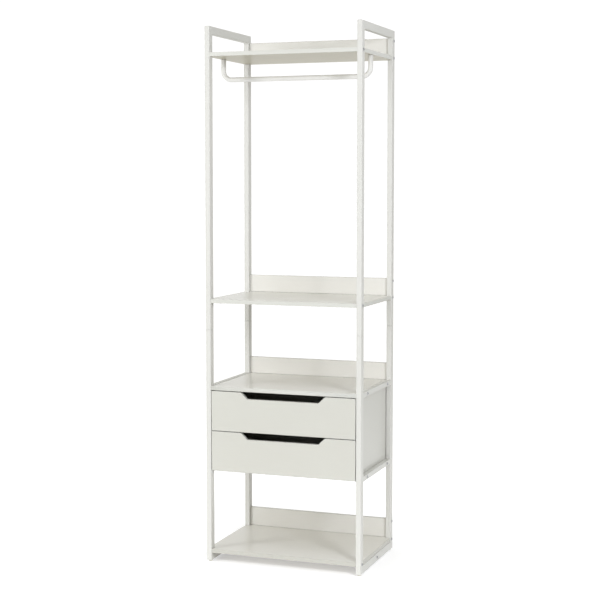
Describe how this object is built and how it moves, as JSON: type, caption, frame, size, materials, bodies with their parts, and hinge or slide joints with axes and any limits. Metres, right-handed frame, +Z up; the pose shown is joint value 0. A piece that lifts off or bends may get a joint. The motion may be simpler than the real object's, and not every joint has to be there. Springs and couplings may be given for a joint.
{
  "type": "open wardrobe",
  "caption": "Free-standing open wardrobe: welded tube side frames carry board shelves with rear upstands, a bent hanging rail and a small cabinet with sliding drawers.",
  "frame": {"origin": "on the floor, in the middle of the footprint", "axes": "+Z up, +X to the object's right seen from the front, front towards -Y"},
  "size_m": [0.6306, 0.42, 2.055],
  "materials": {
    "frame_coat": "smooth white powder coat, semi-matt",
    "white_board": "white melamine-faced board, satin",
    "drawer_board": "dark melamine-faced board, matt",
    "hardboard": "white lacquered hardboard, matt",
    "rail_coat": "white lacquered tube, satin",
    "bolt_zinc": "zinc-plated",
    "guide_zinc": "zinc-plated sheet"
  },
  "bodies": {
    "stand": {"left_lower_frame": "frame_coat", "left_upper_frame": "frame_coat", "right_lower_frame": "frame_coat", "right_upper_frame": "frame_coat", "top_shelf": "white_board", "top_shelf_upstand": "white_board", "middle_shelf": "white_board", "middle_shelf_upstand": "white_board", "bottom_shelf": "white_board", "bottom_shelf_upstand": "white_board", "bottom_shelf_batten": "white_board", "hanging_rail": "rail_coat", "cabinet_top": "white_board", "cabinet_upstand": "white_board", "cabinet_floor": "white_board", "cabinet_side_left": "white_board", "cabinet_side_right": "white_board", "cabinet_back": "hardboard", "upper_guide_left": "guide_zinc", "upper_guide_right": "guide_zinc", "lower_guide_left": "guide_zinc", "lower_guide_right": "guide_zinc", "top_shelf_front_bolt_left": "bolt_zinc", "top_shelf_front_bolt_right": "bolt_zinc", "top_shelf_rear_bolt_left": "bolt_zinc", "top_shelf_rear_bolt_right": "bolt_zinc", "top_upstand_bolt_left": "bolt_zinc", "top_upstand_bolt_right": "bolt_zinc", "middle_shelf_front_bolt_left": "bolt_zinc", "middle_shelf_front_bolt_right": "bolt_zinc", "middle_shelf_rear_bolt_left": "bolt_zinc", "middle_shelf_rear_bolt_right": "bolt_zinc", "middle_upstand_bolt_left": "bolt_zinc", "middle_upstand_bolt_right": "bolt_zinc", "bottom_shelf_front_bolt_left": "bolt_zinc", "bottom_shelf_front_bolt_right": "bolt_zinc", "bottom_shelf_rear_bolt_left": "bolt_zinc", "bottom_shelf_rear_bolt_right": "bolt_zinc", "bottom_upstand_bolt_left": "bolt_zinc", "bottom_upstand_bolt_right": "bolt_zinc", "upper_bar_front_bolt_left": "bolt_zinc", "upper_bar_front_bolt_right": "bolt_zinc", "upper_bar_rear_bolt_left": "bolt_zinc", "upper_bar_rear_bolt_right": "bolt_zinc", "lower_bar_front_bolt_left": "bolt_zinc", "lower_bar_front_bolt_right": "bolt_zinc", "lower_bar_rear_bolt_left": "bolt_zinc", "lower_bar_rear_bolt_right": "bolt_zinc", "batten_bolt_left": "bolt_zinc", "batten_bolt_right": "bolt_zinc"},
    "upper_drawer": {"upper_drawer_front": "white_board", "upper_drawer_side_left": "drawer_board", "upper_drawer_side_right": "drawer_board", "upper_drawer_back": "drawer_board", "upper_drawer_bottom": "drawer_board"},
    "lower_drawer": {"lower_drawer_front": "white_board", "lower_drawer_side_left": "drawer_board", "lower_drawer_side_right": "drawer_board", "lower_drawer_back": "drawer_board", "lower_drawer_bottom": "drawer_board"}
  },
  "joints": [
    {"name": "upper_drawer_slide", "type": "slide", "parent": "stand", "child": "upper_drawer", "axis": [0, -1, 0], "range_m": [0, 0.24]},
    {"name": "lower_drawer_slide", "type": "slide", "parent": "stand", "child": "lower_drawer", "axis": [0, -1, 0], "range_m": [0, 0.24]}
  ]
}
